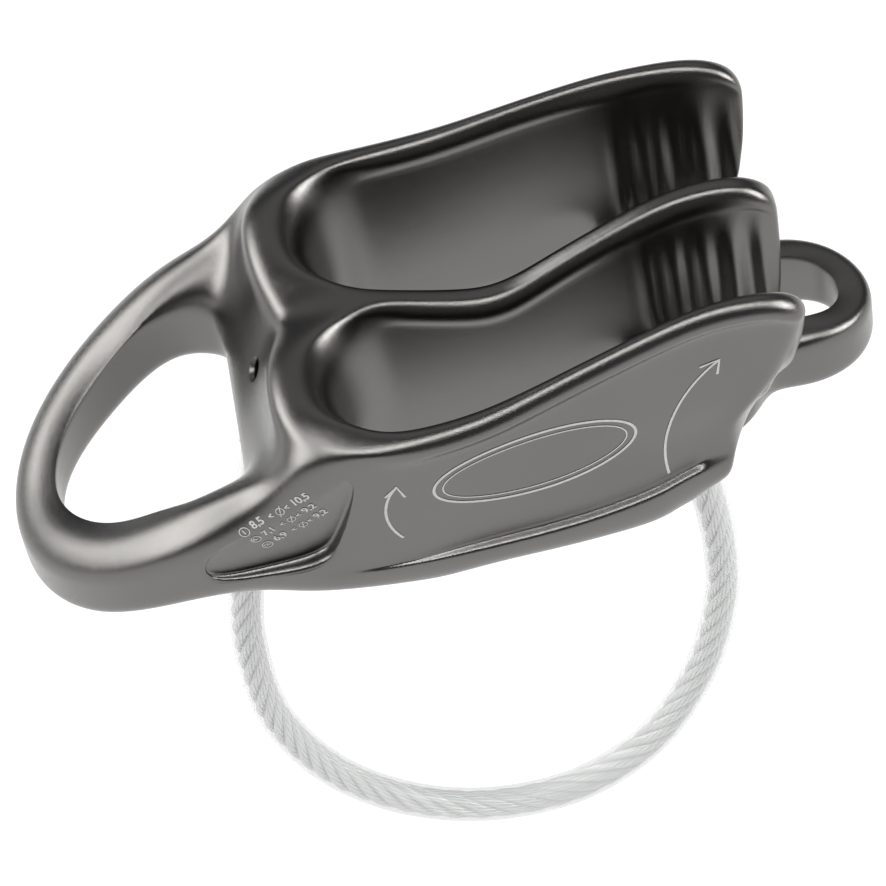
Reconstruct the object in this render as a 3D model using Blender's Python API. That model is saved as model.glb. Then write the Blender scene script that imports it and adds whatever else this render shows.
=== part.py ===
"""Guide mode belay device at its real size, in metres, with +Z up.

The origin is the centre of the large anchor ring's hole. +X runs from that ring to the small release
eye, Y runs across the two rope slots, and the keeper loop hangs below the body, towards -Z.
"""

import math

import bmesh
import bpy
from mathutils import Vector

MM = 0.001

# Side plates, divider and slots
PLATE_HALF_WIDTH = 22.75 * MM
WALL = 3.0 * MM
DIVIDER = 3.2 * MM
SLOT_START = 21.3 * MM
SLOT_END = 53.5 * MM
FIN_END = 70.3 * MM
FIN_TAPER = 3.7 * MM
PLATE_BOTTOM = -7.3 * MM
RAIL_BULGE = 0.55 * MM
RAIL_ROUND = 0.8 * MM
RAIL_DEPTH = 3.0 * MM
RAIL_EDGE = 1.7 * MM

# Rail heights along the body, in millimetres: the side plates dip a little, the divider dips further
SIDE_RAIL = [18.2, 18.1, 18.7, 20.0, 21.9, 23.7, 24.7, 25.2, 25.2, 24.5, 22.5]
DIVIDER_RAIL = [17.8, 16.7, 14.8, 13.8, 17.3, 20.6, 22.5, 23.7, 24.1, 23.7, 21.6]
# How far each column's bottom stands above the plates' lowest line
SIDE_BOTTOM = [0.9, 1.2, 2.0, 1.9, 1.9, 1.6, 1.6, 1.9, 2.6, 3.6, 4.9]
# How far each column's outer face is drawn in, as a share of the fins' taper
TAPER_SHARE = [0.0, 0.0, 0.0, 0.0, 0.06, 0.27, 0.47, 0.64, 0.78, 0.89, 1.0]
# How far each column's rail leans in over the plate's flat face
PLATE_LEAN = [0.0, 0.0, 0.25, 0.85, 1.35, 1.3, 1.1, 0.93, 0.57, 0.4, 0.3]
LEAN_FROM = 7.6 * MM
LEAN_FULL = 15.5 * MM
# The slots narrow towards the bottom, below this height
SLOT_DRAFT = 0.115
DIVIDER_SLOT_DRAFT = 0.085
DRAFT_FROM = 15.5 * MM

# End wall between the anchor ring and the slots
WALL_FOOT = 9.8 * MM
WALL_LIP = 13.9 * MM
WALL_BOTTOM = -3.9 * MM
LIP_TOP = 19.2 * MM

# Anchor ring: its bar thickens from the tip to the arms, and its plane dips towards the tip
RING_MIDDLE = 6.9 * MM
RING_REACH = 21.3 * MM
RING_SPREAD = PLATE_HALF_WIDTH - 5.25 * MM
RING_BAR = 5.2 * MM
RING_HEIGHT = 6.9 * MM
ARM_BAR = 6.8 * MM
ARM_HEIGHT = 10.8 * MM
RING_SLOPE = 0.5

# Brake end: the bridge under the V notches and its cross ridges
BRIDGE_BOTTOM = -2.6 * MM
BRIDGE_TOP = 6.2 * MM
BRIDGE_VALLEY = 4.4 * MM
BRIDGE_END = FIN_END - 1.8 * MM
NOTCH_FLARE = 3.6 * MM
FLUTE = 0.8 * MM

# Release eye
EYE_CENTRE = BRIDGE_END + 4.7 * MM
EYE_HOLE_RADIUS = 4.75 * MM
EYE_BAR = 3.5 * MM
EYE_BOTTOM = -3.4 * MM
EYE_TOP = 4.6 * MM

# Keeper loop: points along its centreline in the plane Y = 0, from the anchor end to the brake end
ROPE_ROUTE = [
    (11.4, -3.6),
    (8.8, -15.0),
    (5.8, -28.0),
    (4.4, -39.5),
    (5.2, -54.0),
    (10.3, -67.2),
    (18.7, -76.6),
    (29.0, -81.4),
    (40.4, -80.9),
    (50.4, -73.9),
    (57.6, -61.4),
    (61.1, -48.5),
    (61.8, -38.6),
    (61.3, -29.5),
    (60.0, -20.5),
    (57.6, -10.5),
    (55.4, -2.7),
]
FIT_GAP = 0.3 * MM
ROPE_DIAMETER = 2.8 * MM
COATING_BORE = ROPE_DIAMETER + 2 * FIT_GAP
COATING_WALL = 0.45 * MM
COATING_DIAMETER = COATING_BORE + 2 * COATING_WALL
ROPE_SPACING = 6.0 * MM
HINGE_GAP = 0.8 * MM

# Sleeves swaged on the rope's ends, and the body's sockets for them, which widen to a flared mouth
SLEEVE_BORE = ROPE_DIAMETER + 2 * FIT_GAP
SLEEVE_WALL = 0.6 * MM
SLEEVE_DIAMETER = SLEEVE_BORE + 2 * SLEEVE_WALL
SLEEVE_LENGTH = 4.8 * MM
SOCKET_DIAMETER = SLEEVE_DIAMETER + 2 * FIT_GAP
SOCKET_FLARE = 1.2 * MM
SOCKET_DEPTH = SOCKET_FLARE + SLEEVE_LENGTH + 0.4 * MM
SOCKET_MOUTH = COATING_DIAMETER + 1.6 * MM
BRAKE_SOCKET_LEAN = 0.05

# Drilled hole through the end wall into the anchor end's socket
CROSS_HOLE_DIAMETER = 2.4 * MM
CROSS_HOLE_CHAMFER = 3.4 * MM
CROSS_HOLE_AT = Vector((13.0, 0.0, 9.6)) * MM
CROSS_HOLE_TILT = math.radians(25.0)

# Recessed panel at the root of the ring's arm, on one side plate, whose face turns in towards the ring
PANEL_DEPTH = 0.75 * MM
PANEL_FACE = PLATE_HALF_WIDTH - 0.45 * MM
PANEL_TURN = 0.079
PANEL_TURN_FROM = 21.0 * MM
PANEL_OUTLINE = [(5.0, 5.0), (19.4, 14.3), (21.3, 12.4), (17.4, 2.0), (13.6, 0.4), (6.2, 0.5), (5.0, 2.4)]

ROUND_SIDES = 24
SWEEP_SIDES = 12


def clear_scene():
    for item in list(bpy.data.objects):
        bpy.data.objects.remove(item, do_unlink=True)


def material(name, colour, roughness, metallic, alpha=1.0):
    made = bpy.data.materials.new(name)
    made.use_nodes = True
    shader = made.node_tree.nodes["Principled BSDF"]
    shader.inputs["Base Color"].default_value = (*colour, 1.0)
    shader.inputs["Roughness"].default_value = roughness
    shader.inputs["Metallic"].default_value = metallic
    shader.inputs["Alpha"].default_value = alpha
    return made


def new_object(name, mesh, finish):
    made = bpy.data.objects.new(name, mesh)
    bpy.context.scene.collection.objects.link(made)
    if finish:
        made.data.materials.append(finish)
    return made


def hide_cutter(cutter):
    cutter.hide_render = True
    cutter.display_type = "WIRE"
    return cutter


def cut(target, cutter):
    """Takes the cutter's shape out of the target."""
    step = target.modifiers.new(cutter.name, "BOOLEAN")
    step.operation = "DIFFERENCE"
    step.solver = "EXACT"
    step.object = hide_cutter(cutter)


def middle(a, b, share=0.5):
    return a + (b - a) * share


# The forging's cage is a grid of blocks. Columns run along X, from the end wall's foot to the fins' ends.
# Rows run across, from the middle plane to a side plate's outer face. Levels run from the bottom to the
# rails' crests.
COLUMN_X = [9.8, 13.9, 27.0, 30.0, 36.0, 41.0, 47.0, 53.5, 57.7, 61.5, 65.3, 69.0, 71.6]
FOOT, LIP, CORNER, BRIDGE_START, FIN = 0, 1, 2, 7, 12
MIDDLE, DIVIDER_FACE, NEAR, HALF_WAY, FAR, PLATE_INNER, PLATE_OUTER = range(7)
BOTTOM, LOW, RING_TOP, WAIST, RAIL_FOOT, RAIL_SIDE, CREST = range(7)


def column_x(column):
    """Columns that mark the slot's and the fins' ends move with those sizes."""
    x = COLUMN_X[column] * MM
    if column >= BRIDGE_START:
        share = (COLUMN_X[column] - COLUMN_X[BRIDGE_START]) / (COLUMN_X[FIN] - COLUMN_X[BRIDGE_START])
        return middle(SLOT_END, FIN_END, share)
    if column > CORNER:
        share = (COLUMN_X[column] - COLUMN_X[CORNER]) / (COLUMN_X[BRIDGE_START] - COLUMN_X[CORNER])
        return middle(SLOT_START + 5.7 * MM, SLOT_END, share)
    return x


def outer_y(column):
    """The side plate's outer face, flat beside the slots and drawn in towards the fins."""
    return PLATE_HALF_WIDTH - FIN_TAPER * TAPER_SHARE[column - CORNER]


def flute(column, level):
    """Upright ridges on the fins' inner faces, which fade out under the rails."""
    if not BRIDGE_START < column < FIN or level > RAIL_FOOT:
        return 0.0
    side = 1 if column % 2 == 0 else -1
    fade = 0.3 if level == RAIL_FOOT else 1.0
    return side * fade * FLUTE


def notch(column, level):
    """How far a fin's inner face stands into the slot, which makes the slot's end a V."""
    if column < BRIDGE_START:
        return 0.0
    depth = [1.0, 1.0, 1.0, 0.45, 0.08, 0.0, 0.0][level]
    entry = 0.3 if column == BRIDGE_START else 1.0
    return NOTCH_FLARE * depth * entry + flute(column, level)


def rail_bulge(level):
    """How far a rail stands out of its plate, which makes the rail a rounded bead."""
    return {RAIL_SIDE: RAIL_BULGE, CREST: -RAIL_ROUND}.get(level, 0.0)


def wall_heights(bottom, low, ring_top, waist, crest, depth=RAIL_DEPTH, edge=RAIL_EDGE):
    return [bottom, low, ring_top, waist, crest - depth, crest - edge, crest]


def fin_end(row, level):
    """Where the metal ends at each level: a fin's outer face is cut back in a hollow curve."""
    if row == PLATE_OUTER:
        return FIN_END + [-7.9, -7.3, -7.4, -2.0, 0.9, 1.4, 1.2][level] * MM
    if row == PLATE_INNER:
        return FIN_END + [-8.2, -6.0, -0.8, 2.2, 2.4, 2.1, 1.2][level] * MM
    if level > RING_TOP or (level == RING_TOP and row <= DIVIDER_FACE):
        return FIN_END + [0.0, 0.0, 1.3, 1.9, 2.0, 1.9, 1.2][level] * MM
    if row == FAR:
        return BRIDGE_END - [2.4, 1.5, 0.4][level] * MM
    return BRIDGE_END


def plate_point(column, row, level):
    """A point of a side plate or the divider, from the slot's corner to the fins' ends."""
    index = column - CORNER
    central = row <= HALF_WAY
    rail = (DIVIDER_RAIL if row <= DIVIDER_FACE else SIDE_RAIL)[index] * MM
    bottom = PLATE_BOTTOM + SIDE_BOTTOM[index] * MM
    if central:
        bottom = middle(bottom, BRIDGE_BOTTOM, min(1.0, index / 6.0))
    end_share = max(0.0, (column - BRIDGE_START) / (FIN - BRIDGE_START))
    valley = {NEAR: 0.55, HALF_WAY: 1.0, FAR: 0.6}.get(row, 0.0) * BRIDGE_VALLEY
    if column == FIN:
        valley *= 0.4
    ring_top = middle(3.0 * MM, BRIDGE_TOP, min(1.0, max(0.0, index - 3) / 2.0)) - valley
    low = min(middle(-1.0 * MM, 1.0 * MM, end_share), middle(bottom, ring_top))
    waist = middle(7.6 * MM, 11.5 * MM, end_share)
    if column == BRIDGE_START - 1 or column == BRIDGE_START:
        waist = 8.4 * MM
    heights = wall_heights(bottom, low, ring_top, waist, rail)
    height = heights[level]
    x = column_x(column)
    if column >= BRIDGE_START:
        x = middle(SLOT_END, fin_end(row, level), (x - SLOT_END) / (FIN_END - SLOT_END))
    draft = max(0.0, DRAFT_FROM - height) * (1.0 if column < BRIDGE_START else 0.4)
    lean = PLATE_LEAN[index] * MM * min(1.0, max(0.0, (height - LEAN_FROM) / (LEAN_FULL - LEAN_FROM)))
    outer = outer_y(column) - lean
    inner = outer_y(column) - lean * 0.6 - WALL
    divider_face = DIVIDER / 2 + rail_bulge(level) * 0.7 + draft * DIVIDER_SLOT_DRAFT
    rows = {
        MIDDLE: 0.0,
        DIVIDER_FACE: divider_face + notch(column, level) * 0.5,
        NEAR: EYE_HOLE_RADIUS,
        HALF_WAY: EYE_HOLE_RADIUS + EYE_BAR,
        FAR: middle(EYE_HOLE_RADIUS + EYE_BAR, inner, 0.5),
        PLATE_INNER: inner - notch(column, level) - rail_bulge(level) * 0.6 - draft * SLOT_DRAFT,
        PLATE_OUTER: outer + rail_bulge(level) * 0.8,
    }
    return Vector((x, rows[row], height))


def end_wall_point(column, row, level):
    """A point of the wall between the anchor ring and the slots, with its rounded lip."""
    if column == FOOT:
        y = (PLATE_HALF_WIDTH - 1.1 * MM) * [0.0, 0.16, 0.33, 0.48, 0.62, 0.81, 0.98][row]
        top = [4.4, 4.4, 4.6, 5.4, 8.6, 11.6, 9.4][row] * MM
        low = [0.0, 0.0, 0.0, 0.0, 0.6, 3.0, 3.0][row] * MM
        return Vector((WALL_FOOT, y, [WALL_BOTTOM, low, top][level]))
    y = PLATE_HALF_WIDTH * [0.0, 0.08, 0.25, 0.47, 0.70, 0.866, 1.0][row]
    crest = LIP_TOP + [-1.5, -1.4, -0.4, 0.0, 0.0, -0.8, -1.5][row] * MM
    if column == LIP:
        y *= [1.0, 1.0, 1.0, 1.0, 1.0, 0.99, 0.97][row]
        lean = [2.6, 2.3, 0.7, 0.0, 0.8, 4.0, 6.6][row] * [0.0, 0.0, 0.0, 0.4, 0.7, 0.9, 1.0][level] * MM
        x = WALL_LIP + lean + [1.5, 0.5, -0.6, 0.1, 0.2, 0.7, 2.4][level] * MM
        low_top = [9.6, 9.8, 10.6, 11.2, 12.0, 13.6, 12.0][row] * MM
        crease = [13.0, 13.2, 14.4, 15.2, 15.8, 16.0, 15.6][row] * MM
        rising = [middle(crease, crest, 0.45), middle(crease, crest, 0.8)]
        heights = [-5.0 * MM, 0.0, low_top, crease, *rising, crest]
        return Vector((x, y, heights[level]))
    back = [5.7, 5.7, 1.3, 0.0, 1.3, 5.7, 5.7][row] * MM
    roll = [0.0, 0.4, 1.0, 1.0, 1.0, 0.6, 0.2][row]
    rolled = [1.8, 1.5, 0.8, 0.5, -0.1, -1.5, -3.3][level] * roll * MM
    depth = middle(RAIL_DEPTH, 4.4 * MM, roll)
    edge = middle(RAIL_EDGE, 1.5 * MM, roll)
    bottom = PLATE_BOTTOM + SIDE_BOTTOM[0] * MM
    waist = middle(8.4 * MM, 8.8 * MM, roll)
    heights = wall_heights(bottom, -1.0 * MM, 3.6 * MM, waist, crest, depth, edge)
    draft = max(0.0, DRAFT_FROM - heights[level])
    slot_side = {
        DIVIDER_FACE: DIVIDER / 2 + draft * DIVIDER_SLOT_DRAFT,
        NEAR: y + rolled * 0.18,
        FAR: y - rolled * 0.18,
        PLATE_INNER: PLATE_HALF_WIDTH - WALL - draft * SLOT_DRAFT,
    }.get(row, y)
    bulge = max(0.0, rail_bulge(level)) * (1 - roll) * 0.5
    return Vector((SLOT_START + back + rolled - bulge, slot_side, heights[level]))


def cage_point(column, row, level):
    if column <= CORNER:
        return end_wall_point(column, row, level)
    return plate_point(column, row, level)


def block(corner_at, column, row, level):
    """The eight corners of one block, given the function that places them."""
    return [
        corner_at(column + i, row + j, level + k)
        for k in (0, 1)
        for i, j in ((0, 0), (1, 0), (1, 1), (0, 1))
    ]


def grid_blocks():
    blocks = []
    for row in range(PLATE_OUTER):
        for level in range(RING_TOP):
            blocks.append(block(cage_point, FOOT, row, level))
        for level in range(CREST):
            blocks.append(block(cage_point, LIP, row, level))
    for column in range(CORNER, FIN):
        for level in range(CREST):
            blocks.append(block(cage_point, column, MIDDLE, level))
            blocks.append(block(cage_point, column, PLATE_INNER, level))
    for column in range(BRIDGE_START, FIN):
        for row in range(DIVIDER_FACE, PLATE_INNER):
            for level in range(RING_TOP):
                blocks.append(block(cage_point, column, row, level))
    return blocks


def ring_point(step, across, level):
    """Stations of the anchor ring, from the end wall round to its tip in the middle plane."""
    if step == 0:
        return cage_point(FOOT, FAR + across, level)
    angle = math.radians([80.0, 52.0, 26.0, 0.0][step - 1])
    share = math.sin(angle)
    bar = middle(RING_BAR, ARM_BAR, share) * (across - 1) / 2
    fullness = 1.035
    reach = (RING_REACH + bar) * fullness
    spread = (RING_SPREAD + bar) * fullness
    x = RING_MIDDLE - reach * math.cos(angle)
    half = middle(RING_HEIGHT, ARM_HEIGHT, share) / 2 * (1.06 if across == 1 else 0.84)
    rise = [1.2, -0.3, 0.0, 0.0][step - 1] * [1.1, 0.8, 0.5][across] * MM
    return Vector((x, spread * share, RING_SLOPE * x + rise + [-0.94, 0.0, 1.0][level] * half))


def eye_point(step, across, level):
    """Stations of the release eye, from the bridge's end round to its tip in the middle plane."""
    if step == 0:
        return cage_point(FIN, NEAR + across, level)
    radius = EYE_HOLE_RADIUS + EYE_BAR * across
    angle = math.radians([90.0, 45.0, 0.0][step - 1])
    fullness = [1.0, 1.1, 1.19][step - 1]
    if across == 1:
        fullness = [1.05, 1.12, 1.18][step - 1]
    top = EYE_TOP + [0.9, -0.4, -1.2][step - 1] * MM
    height = [EYE_BOTTOM, middle(EYE_BOTTOM, top), top][level]
    x = EYE_CENTRE + radius * fullness * math.cos(angle)
    return Vector((x, radius * fullness * math.sin(angle), height))


def band_blocks(point_at, steps, widths):
    return [
        block(point_at, step, across, level)
        for step in range(steps)
        for across in range(widths)
        for level in range(RING_TOP)
    ]


BLOCK_FACES = [(0, 3, 2, 1), (4, 5, 6, 7), (0, 1, 5, 4), (1, 2, 6, 5), (2, 3, 7, 6), (3, 0, 4, 7)]


def key_of(point):
    return tuple(round(value * 1e7) for value in point)


def cage_mesh(name, blocks):
    """Joins blocks into one skin: a face that two blocks share is inside the metal and is left out."""
    places = {}
    faces = {}
    for corners in blocks:
        keys = [key_of(corner) for corner in corners]
        places.update(zip(keys, corners))
        for face in BLOCK_FACES:
            loop = [keys[i] for i in face]
            shared = frozenset(loop)
            on_middle = all(key[1] == 0 for key in loop)
            if shared in faces:
                faces[shared] = None
            elif not on_middle:
                faces[shared] = loop
    skin = bmesh.new()
    vertices = {}
    for loop in faces.values():
        if loop is None:
            continue
        for key in loop:
            if key not in vertices:
                vertices[key] = skin.verts.new(places[key])
        skin.faces.new([vertices[key] for key in loop])
    bmesh.ops.recalc_face_normals(skin, faces=skin.faces)
    mesh = bpy.data.meshes.new(name)
    skin.to_mesh(mesh)
    skin.free()
    mesh.shade_smooth()
    return mesh


def turned_mesh(name, profile, base, axis):
    """A round solid on an axis, from (distance along the axis, radius) pairs at its outside."""
    turn = axis.normalized().to_track_quat("Z", "Y")
    solid = bmesh.new()
    rings = []
    for along, radius in profile:
        ring = []
        for i in range(ROUND_SIDES):
            angle = 2 * math.pi * i / ROUND_SIDES
            local = Vector((radius * math.cos(angle), radius * math.sin(angle), along))
            ring.append(solid.verts.new(base + turn @ local))
        rings.append(ring)
    for lower, upper in zip(rings, rings[1:]):
        for i in range(ROUND_SIDES):
            j = (i + 1) % ROUND_SIDES
            solid.faces.new((lower[i], lower[j], upper[j], upper[i]))
    solid.faces.new(list(reversed(rings[0])))
    solid.faces.new(rings[-1])
    mesh = bpy.data.meshes.new(name)
    solid.to_mesh(mesh)
    solid.free()
    return mesh


def smooth_route(points, spacing):
    """Points at an even spacing along a smooth curve through the given ones."""
    fine = []
    padded = [points[0] * 2 - points[1], *points, points[-1] * 2 - points[-2]]
    for a, b, c, d in zip(padded, padded[1:], padded[2:], padded[3:]):
        for step in range(40):
            t = step / 40
            bend = (a * 2 - b * 5 + c * 4 - d) * t**2 + (b * 3 - a - c * 3 + d) * t**3
            fine.append((b * 2 + (c - a) * t + bend) / 2)
    fine.append(points[-1].copy())
    lengths = [0.0]
    for a, b in zip(fine, fine[1:]):
        lengths.append(lengths[-1] + (b - a).length)
    count = round(lengths[-1] / spacing)
    result = []
    at = 0
    for i in range(count + 1):
        wanted = lengths[-1] * i / count
        while at < len(fine) - 2 and lengths[at + 1] < wanted:
            at += 1
        share = (wanted - lengths[at]) / (lengths[at + 1] - lengths[at])
        result.append(fine[at].lerp(fine[at + 1], min(1.0, share)))
    return result


def rope(name, points, diameter, finish):
    """A round rope along the points, as a curve with filled caps."""
    curve = bpy.data.curves.new(name, "CURVE")
    curve.dimensions = "3D"
    curve.bevel_depth = diameter / 2
    curve.bevel_resolution = 2
    curve.use_fill_caps = True
    line = curve.splines.new("POLY")
    line.points.add(len(points) - 1)
    for spot, point in zip(line.points, points):
        spot.co = (*point, 1.0)
    return new_object(name, curve, finish)


def tube_mesh(name, points, outer, inner):
    """A hollow tube along points in the middle plane, closed at both ends by a flat ring."""
    across = Vector((0.0, 1.0, 0.0))
    solid = bmesh.new()
    skins = []
    for radius in (outer, inner):
        rings = []
        for i, point in enumerate(points):
            ahead = points[min(i + 1, len(points) - 1)] - points[max(i - 1, 0)]
            side = across.cross(ahead.normalized())
            ring = []
            for k in range(SWEEP_SIDES):
                angle = 2 * math.pi * k / SWEEP_SIDES
                spoke = side * math.cos(angle) + across * math.sin(angle)
                ring.append(solid.verts.new(point + spoke * radius))
            rings.append(ring)
        skins.append(rings)
    for rings in skins:
        for lower, upper in zip(rings, rings[1:]):
            for k in range(SWEEP_SIDES):
                n = (k + 1) % SWEEP_SIDES
                solid.faces.new((lower[k], lower[n], upper[n], upper[k]))
    for end in (0, -1):
        for k in range(SWEEP_SIDES):
            n = (k + 1) % SWEEP_SIDES
            solid.faces.new((skins[0][end][k], skins[0][end][n], skins[1][end][n], skins[1][end][k]))
    bmesh.ops.recalc_face_normals(solid, faces=solid.faces)
    mesh = bpy.data.meshes.new(name)
    solid.to_mesh(mesh)
    solid.free()
    mesh.shade_smooth()
    return mesh


def rope_ends():
    """Where the rope leaves the body at each end, and the direction from there up into its socket."""
    points = [Vector((x * MM, 0.0, z * MM)) for x, z in ROPE_ROUTE]
    return [
        (points[0], (points[0] - points[1]).normalized()),
        (points[-1], Vector((BRAKE_SOCKET_LEAN, 0.0, 1.0)).normalized()),
    ]


def forged_body(finish):
    blocks = grid_blocks() + band_blocks(ring_point, 4, 2) + band_blocks(eye_point, 3, 1)
    body = new_object("forged_body", cage_mesh("forged_body", blocks), finish)
    mirror = body.modifiers.new("other_half", "MIRROR")
    mirror.use_axis = (False, True, False)
    mirror.use_clip = True
    mirror.merge_threshold = 0.00001
    rounding = body.modifiers.new("forged_radii", "SUBSURF")
    rounding.levels = 1
    rounding.render_levels = 1
    for name, (mouth, inward) in zip(("anchor", "brake"), rope_ends()):
        profile = [
            (-6.0 * MM, SOCKET_MOUTH / 2),
            (0.0, SOCKET_MOUTH / 2),
            (SOCKET_FLARE, SOCKET_DIAMETER / 2),
            (SOCKET_DEPTH, SOCKET_DIAMETER / 2),
        ]
        cutter = turned_mesh(name + "_socket", profile, mouth, inward)
        cut(body, new_object(name + "_socket", cutter, None))
    outward = Vector((-math.cos(CROSS_HOLE_TILT), 0.0, math.sin(CROSS_HOLE_TILT)))
    profile = [
        (-4.2 * MM, CROSS_HOLE_DIAMETER / 2),
        (-0.4 * MM, CROSS_HOLE_DIAMETER / 2),
        (0.6 * MM, CROSS_HOLE_CHAMFER / 2),
        (4.0 * MM, CROSS_HOLE_CHAMFER / 2),
    ]
    drill = turned_mesh("cross_hole", profile, CROSS_HOLE_AT, outward)
    cut(body, new_object("cross_hole", drill, None))
    cut(body, new_object("panel_recess", panel_mesh("panel_recess"), None))
    return body


def panel_mesh(name):
    """The recess's outline, as a solid from its floor out past the plate's face."""
    solid = bmesh.new()
    floor = []
    for x, z in PANEL_OUTLINE:
        face = PANEL_FACE - (PANEL_TURN_FROM - x * MM) * PANEL_TURN
        floor.append(solid.verts.new((x * MM, PANEL_DEPTH - face, z * MM)))
    open_side = [solid.verts.new(spot.co + Vector((0.0, -3.0 * MM, 0.0))) for spot in floor]
    solid.faces.new(floor)
    solid.faces.new(list(reversed(open_side)))
    for i, corner in enumerate(floor):
        j = (i + 1) % len(floor)
        solid.faces.new((corner, open_side[i], open_side[j], floor[j]))
    uprights = [edge for edge in solid.edges if abs(edge.verts[0].co.y - edge.verts[1].co.y) > 1.0 * MM]
    bmesh.ops.bevel(solid, geom=uprights, offset=0.9 * MM, segments=3, profile=0.5, affect="EDGES")
    bmesh.ops.recalc_face_normals(solid, faces=solid.faces)
    mesh = bpy.data.meshes.new(name)
    solid.to_mesh(mesh)
    solid.free()
    return mesh


def keeper_loop(rope_finish, coating_finish):
    """The exposed stretch of rope, inside its clear coating, hung on the line through its two exits."""
    (mouth, inward), (far_mouth, far_inward) = rope_ends()
    hinge = bpy.data.objects.new("keeper_hinge", None)
    bpy.context.scene.collection.objects.link(hinge)
    hinge.location = mouth
    points = [Vector((x * MM, 0.0, z * MM)) for x, z in ROPE_ROUTE]
    points[0] = mouth - inward * HINGE_GAP
    points[-1] = far_mouth - far_inward * HINGE_GAP
    centres = smooth_route([point - mouth for point in points], ROPE_SPACING)
    strand = rope("keeper_rope", centres, ROPE_DIAMETER, rope_finish)
    mesh = tube_mesh("keeper_coating", centres, COATING_DIAMETER / 2, COATING_BORE / 2)
    coating = new_object("keeper_coating", mesh, coating_finish)
    strand.parent = hinge
    coating.parent = hinge


def gripped_ends(rope_finish, sleeve_finish):
    """The rope's two ends in their sockets, each in a swaged sleeve."""
    for name, (mouth, inward) in zip(("anchor", "brake"), rope_ends()):
        start = mouth + inward * SOCKET_FLARE
        stop = start + inward * SLEEVE_LENGTH
        profile = [(0.0, ROPE_DIAMETER / 2), (SLEEVE_LENGTH, ROPE_DIAMETER / 2)]
        end = turned_mesh(name + "_rope_end", profile, start, inward)
        new_object(name + "_rope_end", end, rope_finish)
        sleeve = tube_mesh(name + "_end_sleeve", [start, stop], SLEEVE_DIAMETER / 2, SLEEVE_BORE / 2)
        new_object(name + "_end_sleeve", sleeve, sleeve_finish)


clear_scene()
anodised = material("anodised_alloy", (0.13, 0.127, 0.12), 0.33, 1.0)
steel = material("rope_steel", (0.62, 0.62, 0.60), 0.35, 1.0)
plastic = material("clear_plastic", (0.86, 0.87, 0.86), 0.3, 0.0, 0.45)
sleeve_alloy = material("sleeve_alloy", (0.5, 0.5, 0.5), 0.4, 1.0)
forged_body(anodised)
keeper_loop(steel, plastic)
gripped_ends(steel, sleeve_alloy)
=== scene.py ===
"""Guide mode belay device: a forged light-alloy body and a coated wire loop, in studio light."""

import math

import bmesh
import bpy
import numpy as np
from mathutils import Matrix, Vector


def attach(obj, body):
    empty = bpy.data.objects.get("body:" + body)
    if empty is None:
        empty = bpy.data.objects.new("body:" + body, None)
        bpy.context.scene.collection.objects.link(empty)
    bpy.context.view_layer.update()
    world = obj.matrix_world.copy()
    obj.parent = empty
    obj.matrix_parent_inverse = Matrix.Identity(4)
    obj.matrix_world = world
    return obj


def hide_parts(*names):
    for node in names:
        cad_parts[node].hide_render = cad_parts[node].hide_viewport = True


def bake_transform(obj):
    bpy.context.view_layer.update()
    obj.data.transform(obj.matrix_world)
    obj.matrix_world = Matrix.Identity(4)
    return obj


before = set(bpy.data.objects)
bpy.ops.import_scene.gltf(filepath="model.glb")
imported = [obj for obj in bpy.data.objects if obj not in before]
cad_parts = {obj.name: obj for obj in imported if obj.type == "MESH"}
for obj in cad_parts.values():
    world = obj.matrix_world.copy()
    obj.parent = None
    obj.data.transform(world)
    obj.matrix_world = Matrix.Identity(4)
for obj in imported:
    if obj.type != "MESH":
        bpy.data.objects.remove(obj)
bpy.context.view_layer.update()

# Camera, floor and light. The camera looks down on the device from the front, turned a little
# about its own axis, as the photograph does. The floor is white card well below the loop, under
# large soft boxes.
MM = 0.001
CAMERA_AT = Vector((31.8, -290.0, 336.3)) * MM
CAMERA_ELEVATION = math.radians(50.0)
CAMERA_ROLL = math.radians(11.5)
CAMERA_LENS = 161.3
FLOOR_HEIGHT = -0.16
FLOOR_SIZE = 6.0
LIT_MIDDLE = (0.03, 0.0, 0.0)

camera_data = bpy.data.cameras.new("camera")
camera_data.lens = CAMERA_LENS
camera_data.sensor_width = 36.0
camera_data.clip_start = 0.01
camera = bpy.data.objects.new("camera", camera_data)
bpy.context.scene.collection.objects.link(camera)
camera.location = CAMERA_AT
camera.rotation_euler = (math.pi / 2 - CAMERA_ELEVATION, 0.0, 0.0)
camera.rotation_euler.rotate_axis("Z", -CAMERA_ROLL)
bpy.context.scene.camera = camera

bpy.ops.object.select_all(action="DESELECT")
bpy.ops.mesh.primitive_plane_add(size=FLOOR_SIZE, location=(0.0, 0.0, FLOOR_HEIGHT))
floor = bpy.context.object
floor.name = "studio_floor"
floor_card = bpy.data.materials.new("lit_white_card")
floor_card.use_nodes = True
card_shader = floor_card.node_tree.nodes["Principled BSDF"]
card_shader.inputs["Base Color"].default_value = (0.12, 0.12, 0.12, 1.0)
card_shader.inputs["Roughness"].default_value = 0.9
card_shader.inputs["Specular IOR Level"].default_value = 0.0
card_shader.inputs["Emission Color"].default_value = (1.0, 1.0, 1.0, 1.0)
card_shader.inputs["Emission Strength"].default_value = 1.0
floor.data.materials.append(floor_card)

bpy.context.scene.view_settings.view_transform = "Standard"
world = bpy.data.worlds.new("studio")
bpy.context.scene.world = world
world.use_nodes = True
world.node_tree.nodes["Background"].inputs["Color"].default_value = (0.96, 0.97, 1.0, 1.0)
world.node_tree.nodes["Background"].inputs["Strength"].default_value = 0.13


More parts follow.
